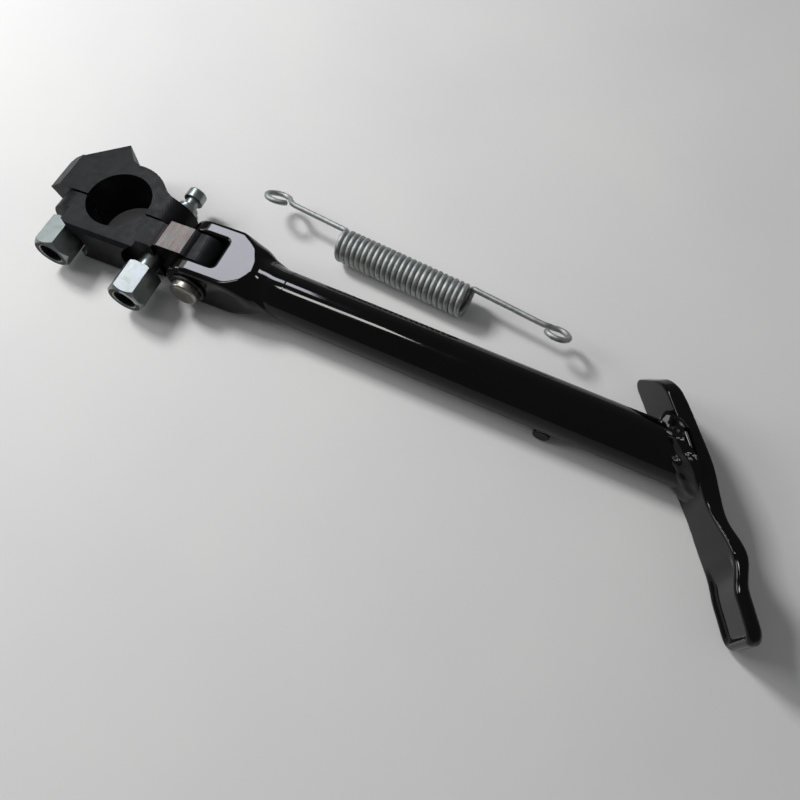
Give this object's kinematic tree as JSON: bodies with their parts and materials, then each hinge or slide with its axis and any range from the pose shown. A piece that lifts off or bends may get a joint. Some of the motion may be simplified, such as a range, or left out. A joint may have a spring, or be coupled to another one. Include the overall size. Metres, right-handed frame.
{
  "type": "motorcycle side stand",
  "caption": "Clamp-on motorcycle kickstand: a split tube clamp carries a hinged leg with an angled foot plate, with its return spring lying beside it.",
  "frame": {"origin": "axis of the frame tube that the clamp grips, halfway through the clamp's thickness", "axes": "+X along the leg from the clamp towards the foot, +Y across the leg towards the clamp's cap, +Z along the frame tube"},
  "size_m": [0.3266, 0.1204, 0.026],
  "materials": {
    "black_oxide": "satin blacked machined steel",
    "bright_zinc": "bright zinc plate",
    "bronze": "plain bronze",
    "black_enamel": "gloss black enamel",
    "plain_steel": "turned steel",
    "black_washer": "satin black",
    "galvanised_wire": "matte galvanised"
  },
  "bodies": {
    "clamp": {"clamp_cap": "black_oxide", "clamp_body": "black_oxide", "clamp_stud": "bright_zinc", "spring_post_bolt": "bright_zinc", "sleeve_nut_left": "bright_zinc", "sleeve_nut_right": "bright_zinc", "pivot_bush": "bronze"},
    "leg": {"leg_fork": "black_enamel", "leg_tube": "black_enamel", "foot_plate": "black_enamel", "foot_weld": "black_enamel", "spring_anchor": "black_enamel", "pivot_bolt": "plain_steel", "pivot_washer": "black_washer"},
    "spring": {"return_spring": "galvanised_wire"}
  },
  "joints": [
    {"name": "leg_hinge", "type": "hinge", "parent": "clamp", "child": "leg", "pos_m": [0.044, -0.0081, 0], "axis": [0, -1, 0], "range_deg": [0, 80]},
    {"name": "spring_lift", "type": "slide", "parent": "clamp", "child": "spring", "axis": [0, 0, 1], "range_m": [0, 0.05]}
  ]
}
